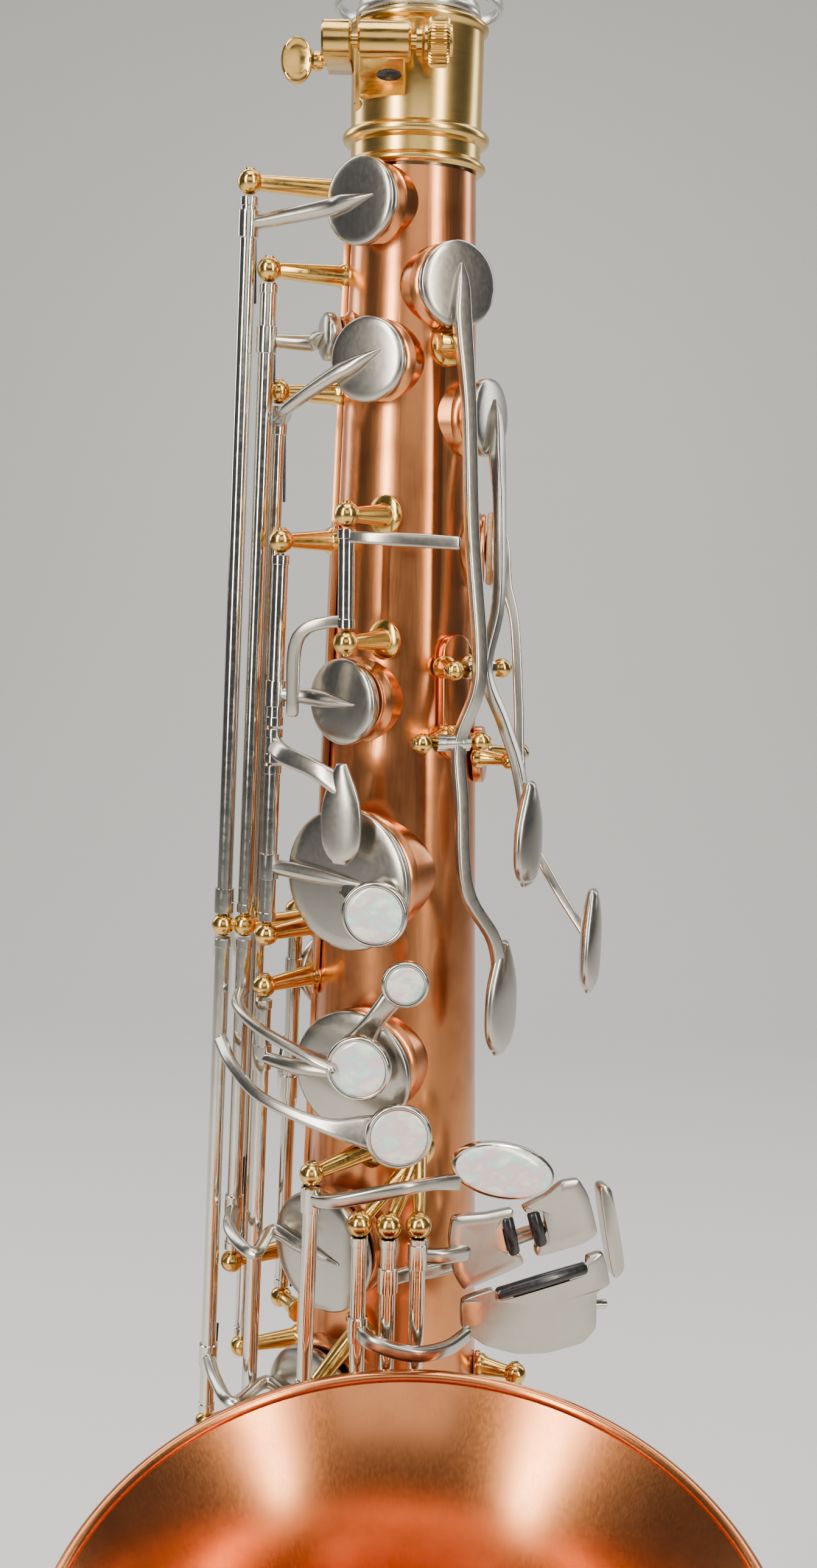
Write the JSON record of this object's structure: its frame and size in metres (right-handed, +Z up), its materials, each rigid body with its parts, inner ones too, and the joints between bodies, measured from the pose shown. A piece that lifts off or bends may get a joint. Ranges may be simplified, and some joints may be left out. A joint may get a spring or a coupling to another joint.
{
  "type": "tenor saxophone",
  "caption": "Tenor saxophone with brushed copper-coloured body and bell, removable neck, and sprung nickel keys on brass posts and ribs.",
  "frame": {"origin": "centre of the strap ring's eye on the back of the body tube", "axes": "+Z up along the body tube towards the neck, -Y towards the bell (the listener's side), +X towards the player's left hand side of the body"},
  "size_m": [0.1478, 0.3805, 0.7816],
  "materials": {
    "copper_body": "brushed copper-coloured plate, clear lacquer",
    "brass_fittings": "polished brass, clear lacquer",
    "nickel_keys": "satin nickel plate on brass",
    "silver_neck": "satin silver plate on brass",
    "cork": "natural cork, waxed"
  },
  "bodies": {
    "body": {"bell": "copper_body", "bell_brace": "brass_fittings", "bell_key_lower_rib": "brass_fittings", "bell_key_upper_post": "brass_fittings", "body_tube": "copper_body", "bow": "copper_body", "foot_key_rib": "brass_fittings", "front_f_lower_post": "brass_fittings", "front_f_upper_post": "brass_fittings", "g_sharp_key_rib": "brass_fittings", "g_sharp_lower_post": "brass_fittings", "g_sharp_upper_post": "brass_fittings", "low_c_lower_post": "brass_fittings", "low_c_sharp_rib": "brass_fittings", "lower_bow_ferrule": "brass_fittings", "lower_stack_rib": "brass_fittings", "neck_receiver": "brass_fittings", "octave_rib": "brass_fittings", "palm_d_rib": "brass_fittings", "palm_key_rib": "brass_fittings", "side_key_rib": "brass_fittings", "strap_ring": "brass_fittings", "thumb_hook": "brass_fittings", "thumb_rest": "brass_fittings", "upper_bow_ferrule": "brass_fittings", "upper_stack_rib": "brass_fittings"},
    "neck": {"neck_tube": "silver_neck", "neck_cork": "cork", "neck_octave_saddle": "silver_neck"},
    "small_c_key": {"small_c_key": "nickel_keys"},
    "b_key": {"b_key": "nickel_keys"},
    "bis_key": {"bis_key": "nickel_keys"},
    "a_key": {"a_key": "nickel_keys"},
    "g_key": {"g_key": "nickel_keys"},
    "f_sharp_key": {"f_sharp_key": "nickel_keys"},
    "f_key": {"f_key": "nickel_keys"},
    "e_key": {"e_key": "nickel_keys"},
    "d_key": {"d_key": "nickel_keys"},
    "high_e_key": {"high_e_key": "nickel_keys"},
    "high_f_sharp_key": {"high_f_sharp_key": "nickel_keys"},
    "side_c_key": {"side_c_key": "nickel_keys"},
    "side_b_flat_key": {"side_b_flat_key": "nickel_keys"},
    "palm_f_key": {"palm_f_key": "nickel_keys"},
    "palm_eb_key": {"palm_eb_key": "nickel_keys"},
    "palm_d_key": {"palm_d_key": "nickel_keys"},
    "front_f_touch": {"front_f_touch": "nickel_keys"},
    "front_f_link": {"front_f_link": "nickel_keys"},
    "g_sharp_lever": {"g_sharp_lever": "nickel_keys"},
    "g_sharp_key": {"g_sharp_key": "nickel_keys"},
    "low_c_sharp_lever": {"low_c_sharp_lever": "nickel_keys"},
    "low_b_key": {"low_b_key": "nickel_keys"},
    "low_b_flat_key": {"low_b_flat_key": "nickel_keys"},
    "low_c_sharp_key": {"low_c_sharp_key": "nickel_keys"},
    "low_e_flat_key": {"low_e_flat_key": "nickel_keys"},
    "low_c_key": {"low_c_key": "nickel_keys"},
    "octave_vent_key": {"octave_vent_key": "nickel_keys"},
    "octave_thumb_lever": {"octave_thumb_lever": "nickel_keys"},
    "neck_octave_key": {"neck_octave_key": "silver_neck"},
    "neck_clamp_screw": {"neck_clamp_screw": "brass_fittings"},
    "lyre_screw": {"lyre_screw": "brass_fittings"}
  },
  "joints": [
    {"name": "small_c_key_hinge", "type": "hinge", "parent": "body", "child": "small_c_key", "pos_m": [-0.03018, -0.04409, 0.129], "axis": [0.0263, 0.0126, 0.9996], "range_deg": [0, 5], "stiffness_Nm_per_rad": 0.15, "springref_deg": -8.59},
    {"name": "b_key_hinge", "type": "hinge", "parent": "body", "child": "b_key", "pos_m": [-0.03129, -0.04462, 0.087], "axis": [0.0263, 0.0126, 0.9996], "range_deg": [0, 5], "stiffness_Nm_per_rad": 0.15, "springref_deg": -8.59},
    {"name": "bis_key_hinge", "type": "hinge", "parent": "body", "child": "bis_key", "pos_m": [-0.03255, -0.04523, 0.039], "axis": [0.0263, 0.0126, 0.9996], "range_deg": [0, 5], "stiffness_Nm_per_rad": 0.15, "springref_deg": -8.59},
    {"name": "a_key_hinge", "type": "hinge", "parent": "body", "child": "a_key", "pos_m": [-0.04013, -0.03671, -0.004], "axis": [0.0287, 0.0051, 0.9996], "range_deg": [0, 4.5], "stiffness_Nm_per_rad": 0.15, "springref_deg": -8.59},
    {"name": "g_key_hinge", "type": "hinge", "parent": "body", "child": "g_key", "pos_m": [-0.04657, -0.03701, -0.045], "axis": [0.0288, 0.0046, 0.9996], "range_deg": [0, 4.5], "stiffness_Nm_per_rad": 0.15, "springref_deg": -8.59},
    {"name": "f_sharp_key_hinge", "type": "hinge", "parent": "body", "child": "f_sharp_key", "pos_m": [-0.03587, -0.04682, -0.087], "axis": [0.0263, 0.0126, 0.9996], "range_deg": [0, 4.5], "stiffness_Nm_per_rad": 0.15, "springref_deg": -8.59},
    {"name": "f_key_hinge", "type": "hinge", "parent": "body", "child": "f_key", "pos_m": [-0.03698, -0.04735, -0.129], "axis": [0.0263, 0.0126, 0.9996], "range_deg": [0, 4.5], "stiffness_Nm_per_rad": 0.15, "springref_deg": -8.59},
    {"name": "e_key_hinge", "type": "hinge", "parent": "body", "child": "e_key", "pos_m": [-0.03811, -0.04789, -0.172], "axis": [0.0263, 0.0126, 0.9996], "range_deg": [0, 4.5], "stiffness_Nm_per_rad": 0.15, "springref_deg": -8.59},
    {"name": "d_key_hinge", "type": "hinge", "parent": "body", "child": "d_key", "pos_m": [-0.03927, -0.04845, -0.216], "axis": [0.0263, 0.0126, 0.9996], "range_deg": [0, 4.5], "stiffness_Nm_per_rad": 0.15, "springref_deg": -8.59},
    {"name": "high_e_key_hinge", "type": "hinge", "parent": "body", "child": "high_e_key", "pos_m": [-0.03842, -0.03572, 0.2375], "axis": [-0.0288, -0.0046, -0.9996], "range_deg": [0, 9], "stiffness_Nm_per_rad": 0.15, "springref_deg": -8.59},
    {"name": "high_f_sharp_key_hinge", "type": "hinge", "parent": "body", "child": "high_f_sharp_key", "pos_m": [-0.03393, -0.03562, 0.2115], "axis": [-0.0287, -0.0051, -0.9996], "range_deg": [0, 10], "stiffness_Nm_per_rad": 0.15, "springref_deg": -8.59},
    {"name": "side_c_key_hinge", "type": "hinge", "parent": "body", "child": "side_c_key", "pos_m": [-0.03168, -0.03074, 0.193], "axis": [-0.0292, -0.001, -0.9996], "range_deg": [0, 6.5], "stiffness_Nm_per_rad": 0.15, "springref_deg": -8.59},
    {"name": "side_b_flat_key_hinge", "type": "hinge", "parent": "body", "child": "side_b_flat_key", "pos_m": [-0.02694, -0.01875, 0.054], "axis": [0.0271, -0.0109, 0.9996], "range_deg": [0, 8], "stiffness_Nm_per_rad": 0.15, "springref_deg": -8.59},
    {"name": "palm_f_key_hinge", "type": "hinge", "parent": "body", "child": "palm_f_key", "pos_m": [0.01196, -0.05715, 0.12], "axis": [0.9171, 0.3987, 0], "range_deg": [0, 4.5], "stiffness_Nm_per_rad": 0.15, "springref_deg": -8.59},
    {"name": "palm_eb_key_hinge", "type": "hinge", "parent": "body", "child": "palm_eb_key", "pos_m": [0.01774, -0.05078, 0.1365], "axis": [0.766, 0.6428, 0], "range_deg": [0, 5], "stiffness_Nm_per_rad": 0.15, "springref_deg": -8.59},
    {"name": "palm_d_key_hinge", "type": "hinge", "parent": "body", "child": "palm_d_key", "pos_m": [0.02797, -0.03558, 0.114], "axis": [0.2079, 0.9781, 0], "range_deg": [0, 5], "stiffness_Nm_per_rad": 0.15, "springref_deg": -8.59},
    {"name": "front_f_touch_hinge", "type": "hinge", "parent": "body", "child": "front_f_touch", "pos_m": [-0.0305, -0.04425, 0.117], "axis": [0.0263, 0.0126, 0.9996], "range_deg": [0, 7], "stiffness_Nm_per_rad": 0.15, "springref_deg": -8.59},
    {"name": "front_f_link_hinge", "type": "hinge", "parent": "body", "child": "front_f_link", "pos_m": [-0.01305, -0.05803, 0.157], "axis": [0.0103, -0.0138, -0.9999], "range_deg": [0, 5], "stiffness_Nm_per_rad": 0.15, "springref_deg": -8.59},
    {"name": "g_sharp_lever_hinge", "type": "hinge", "parent": "body", "child": "g_sharp_lever", "pos_m": [-0.019, -0.06583, -0.0113], "axis": [0.0209, 0.007, 0.9998], "range_deg": [0, 6], "stiffness_Nm_per_rad": 0.15, "springref_deg": -8.59},
    {"name": "g_sharp_key_hinge", "type": "hinge", "parent": "body", "child": "g_sharp_key", "pos_m": [0.03375, -0.03681, -0.064], "axis": [-0.0285, 0.0061, 0.9996], "range_deg": [0, 7], "stiffness_Nm_per_rad": 0.15, "springref_deg": -8.59},
    {"name": "low_c_sharp_lever_hinge", "type": "hinge", "parent": "body", "child": "low_c_sharp_lever", "pos_m": [0.00718, -0.06725, -0.042], "axis": [0, 0, 1], "range_deg": [0, 4.5], "stiffness_Nm_per_rad": 0.15, "springref_deg": -8.59},
    {"name": "low_b_key_hinge", "type": "hinge", "parent": "body", "child": "low_b_key", "pos_m": [0.0002, -0.06793, -0.042], "axis": [0, 0, 1], "range_deg": [0, 6], "stiffness_Nm_per_rad": 0.15, "springref_deg": -8.59},
    {"name": "low_b_flat_key_hinge", "type": "hinge", "parent": "body", "child": "low_b_flat_key", "pos_m": [-0.00678, -0.06733, -0.042], "axis": [0, 0, 1], "range_deg": [0, 6], "stiffness_Nm_per_rad": 0.15, "springref_deg": -8.59},
    {"name": "low_c_sharp_key_hinge", "type": "hinge", "parent": "body", "child": "low_c_sharp_key", "pos_m": [0.02216, -0.06013, -0.242], "axis": [0.0172, -0.0236, -0.9996], "range_deg": [0, 5.25], "stiffness_Nm_per_rad": 0.15, "springref_deg": -8.59},
    {"name": "low_e_flat_key_hinge", "type": "hinge", "parent": "body", "child": "low_e_flat_key", "pos_m": [-0.0405, -0.04213, -0.257], "axis": [0, 0, 1], "range_deg": [0, 8], "stiffness_Nm_per_rad": 0.15, "springref_deg": -8.59},
    {"name": "low_c_key_hinge", "type": "hinge", "parent": "body", "child": "low_c_key", "pos_m": [-0.042, -0.05963, -0.34985], "axis": [0, 0, 1], "range_deg": [0, 6], "stiffness_Nm_per_rad": 0.15, "springref_deg": -8.59},
    {"name": "octave_vent_key_hinge", "type": "hinge", "parent": "body", "child": "octave_vent_key", "pos_m": [0, -0.00585, 0.166], "axis": [-1, 0, 0], "range_deg": [0, 8], "stiffness_Nm_per_rad": 0.15, "springref_deg": -8.59},
    {"name": "octave_thumb_lever_hinge", "type": "hinge", "parent": "body", "child": "octave_thumb_lever", "pos_m": [0, -0.00281, 0.062], "axis": [-1, 0, 0], "range_deg": [0, 5], "stiffness_Nm_per_rad": 0.15, "springref_deg": -8.59},
    {"name": "neck_turn", "type": "hinge", "parent": "body", "child": "neck", "pos_m": [0, -0.02963, 0.27], "axis": [0, 0, 1], "range_deg": [-20, 20]},
    {"name": "neck_octave_hinge", "type": "hinge", "parent": "neck", "child": "neck_octave_key", "pos_m": [0, -0.04583, 0.318], "axis": [1, 0, 0], "range_deg": [0, 5], "stiffness_Nm_per_rad": 0.15, "springref_deg": -8.59},
    {"name": "neck_clamp_turn", "type": "hinge", "parent": "body", "child": "neck_clamp_screw", "pos_m": [0, -0.05103, 0.2742], "axis": [1, 0, 0], "range_deg": [0, 270]},
    {"name": "lyre_screw_turn", "type": "hinge", "parent": "body", "child": "lyre_screw", "pos_m": [0, -0.04263, 0.272], "axis": [1, 0, 0], "range_deg": [0, 270]}
  ],
  "couplings": [
    {"joint": "octave_vent_key_hinge", "follows": "octave_thumb_lever_hinge", "ratio": 1.6},
    {"joint": "g_sharp_key_hinge", "follows": "g_sharp_lever_hinge", "ratio": 1.166},
    {"joint": "low_c_sharp_key_hinge", "follows": "low_c_sharp_lever_hinge", "ratio": 1.166},
    {"joint": "small_c_key_hinge", "follows": "a_key_hinge", "ratio": 1.111},
    {"joint": "front_f_link_hinge", "follows": "front_f_touch_hinge", "ratio": 0.714},
    {"joint": "f_sharp_key_hinge", "follows": "f_key_hinge", "ratio": 1}
  ]
}
